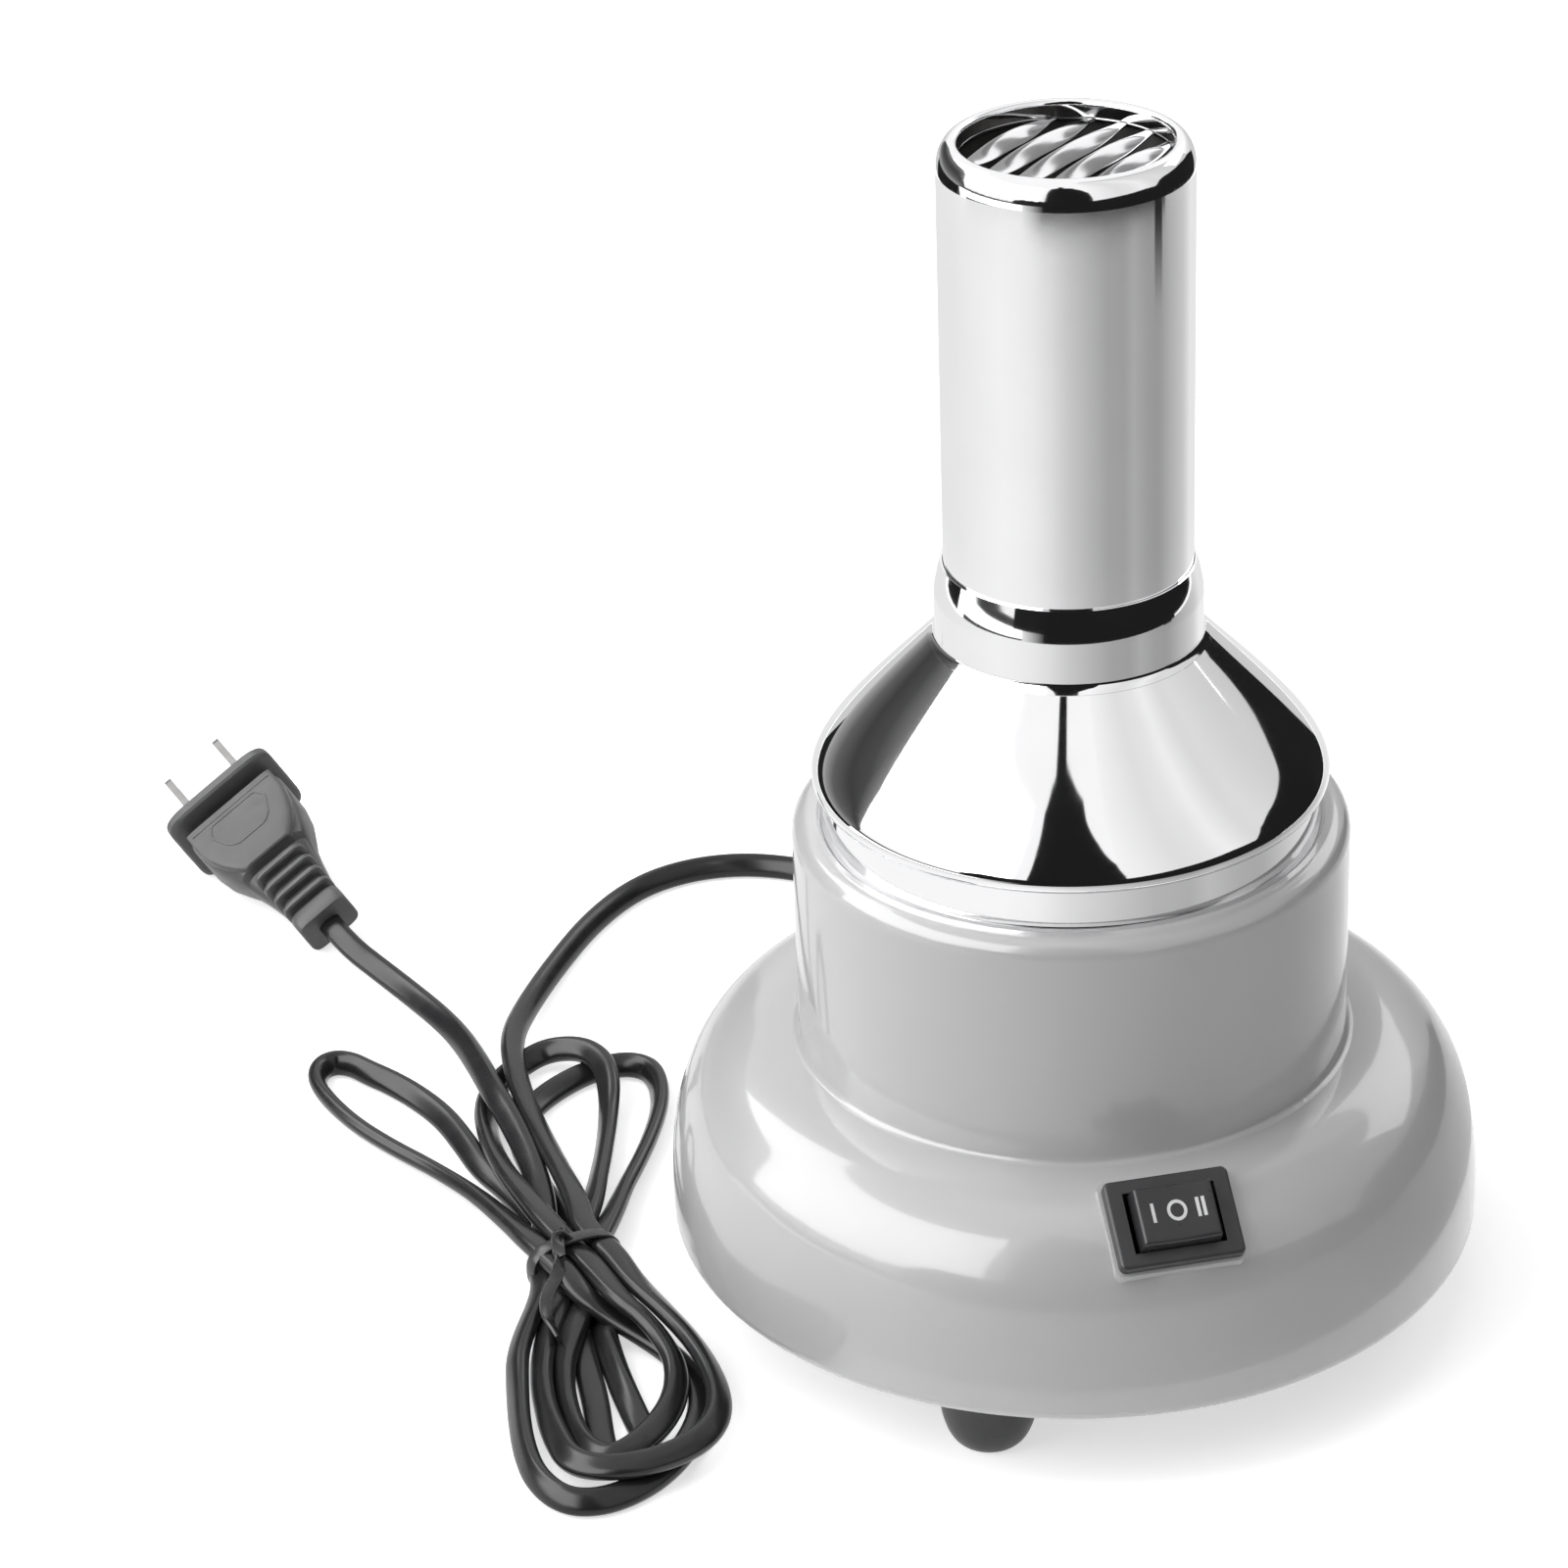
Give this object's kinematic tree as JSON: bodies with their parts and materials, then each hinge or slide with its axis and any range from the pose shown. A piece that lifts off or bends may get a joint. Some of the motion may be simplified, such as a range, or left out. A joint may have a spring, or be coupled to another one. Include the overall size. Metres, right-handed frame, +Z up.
{
  "type": "eyeglass frame warmer",
  "caption": "Counter-top warm-air heater for bending spectacle frames: chrome nozzle with a twisted-strip outlet on a round plastic base with a rocker switch, mains lead and plug.",
  "frame": {"origin": "on the nozzle's axis, at the surface that the feet stand on", "axes": "+Z up along the nozzle's axis, -Y the side with the rocker switch, +Y the side that the mains lead leaves by"},
  "size_m": [0.2095, 0.271, 0.2096],
  "materials": {
    "housing_plastic": "smooth light grey",
    "base_plastic": "plain black moulding",
    "foot_rubber": "smooth black rubber",
    "screw_steel": "zinc plated",
    "dome_chrome": "mirror",
    "collar_chrome": "mirror",
    "nozzle_chrome": "mirror",
    "grille_chrome": "bright, slightly soft",
    "shield_mica": "pressed mica sheet",
    "carrier_steel": "plain sheet steel",
    "former_mica": "pressed mica sheet",
    "heater_wire": "oxidised resistance wire",
    "cutout_metal": "stamped case",
    "fuse_metal": "drawn case",
    "shroud_plastic": "heat-proof moulding",
    "bracket_steel": "plain sheet steel",
    "motor_steel": "drawn steel can",
    "motor_plastic": "moulded end cap",
    "bearing_bronze": "sintered bronze",
    "magnet_ferrite": "sintered ferrite",
    "brush_carbon": "pressed carbon",
    "shaft_steel": "ground",
    "core_steel": "stacked laminations",
    "winding_wire": "enamelled copper",
    "commutator_copper": "turned copper",
    "fan_plastic": "moulded",
    "switch_plastic": "fine-grained black",
    "rocker_plastic": "smooth black",
    "terminal_brass": "tinned brass",
    "cord_sheath": "smooth dark sheath",
    "clamp_plastic": "plain",
    "block_plastic": "plain",
    "board_laminate": "laminate",
    "diode_plastic": "plain",
    "lead_sheath": "smooth",
    "tie_plastic": "coated wire",
    "plug_plastic": "moulded, softly shiny",
    "blade_brass": "nickel plated"
  },
  "bodies": {
    "housing": {"housing_shell": "housing_plastic", "base_plate": "base_plastic", "rubber_feet": "foot_rubber", "foot_screws": "screw_steel", "chrome_dome": "dome_chrome", "collar_ring": "collar_chrome", "nozzle_tube": "nozzle_chrome", "outlet_grille": "grille_chrome", "heat_shield_tube": "shield_mica", "heater_carrier": "carrier_steel", "mica_former": "former_mica", "heater_coil": "heater_wire", "thermal_cutout": "cutout_metal", "thermal_fuse": "fuse_metal", "fan_shroud": "shroud_plastic", "motor_bracket": "bracket_steel", "bracket_screws": "screw_steel", "motor_screws": "screw_steel", "motor_can": "motor_steel", "motor_end_cap": "motor_plastic", "front_bearing": "bearing_bronze", "rear_bearing": "bearing_bronze", "motor_magnets": "magnet_ferrite", "motor_brushes": "brush_carbon", "switch_frame": "switch_plastic", "switch_terminals": "terminal_brass", "cord_gland": "cord_sheath", "inner_cord": "cord_sheath", "cord_clamp": "clamp_plastic", "clamp_screws": "screw_steel", "terminal_block": "block_plastic", "rectifier_board": "board_laminate", "board_screws": "screw_steel", "rectifier_diodes": "diode_plastic", "heater_leads": "lead_sheath", "motor_leads": "lead_sheath", "supply_leads": "lead_sheath", "switch_leads": "lead_sheath", "mains_cord": "cord_sheath", "cord_hank": "cord_sheath", "cord_tail": "cord_sheath", "cord_tie": "tie_plastic", "plug_body": "plug_plastic", "plug_blades": "blade_brass"},
    "rocker": {"switch_rocker": "rocker_plastic"},
    "rotor": {"motor_shaft": "shaft_steel", "armature_core": "core_steel", "armature_winding": "winding_wire", "commutator": "commutator_copper", "fan_impeller": "fan_plastic"}
  },
  "joints": [
    {"name": "rocker_tilt", "type": "hinge", "parent": "housing", "child": "rocker", "pos_m": [0, -0.06036, 0.04493], "axis": [0, 0.788, 0.6157], "range_deg": [-11, 11]},
    {"name": "rotor_spin", "type": "hinge", "parent": "housing", "child": "rotor", "pos_m": [0, 0, 0.04], "axis": [0, 0, 1], "continuous": true}
  ]
}
